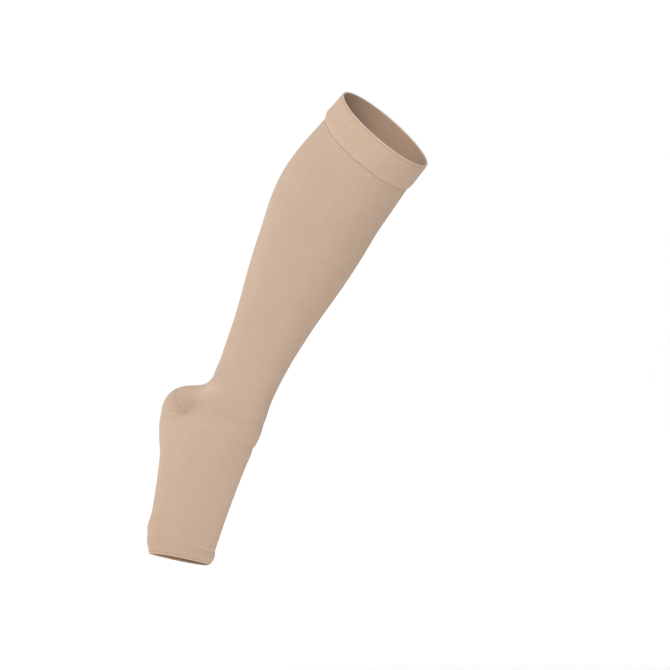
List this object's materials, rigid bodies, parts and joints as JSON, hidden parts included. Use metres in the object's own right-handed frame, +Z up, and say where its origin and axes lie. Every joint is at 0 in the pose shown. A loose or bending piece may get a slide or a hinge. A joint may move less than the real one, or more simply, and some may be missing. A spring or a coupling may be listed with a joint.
{
  "type": "knee-high compression stocking",
  "caption": "Knee-high open-toe compression stocking in fine knit, with a folded top band, pocket heel and toe band, in the form it has when worn.",
  "frame": {"origin": "centre of the opening below the knee, where the leg holds the stocking", "axes": "+Z up, with the leg leaning 30 degrees toward +X at its knee end; -Y to the viewer of the picture; the foot points down"},
  "size_m": [0.3073, 0.1963, 0.5238],
  "materials": {
    "fine_knit": "matte fine elastic knit, pale skin tone",
    "band_knit": "matte double knit, pale skin tone"
  },
  "bodies": {
    "root": {"top_band": "band_knit", "leg": "fine_knit", "heel": "fine_knit", "foot": "fine_knit", "toe_band": "band_knit"}
  },
  "joints": []
}
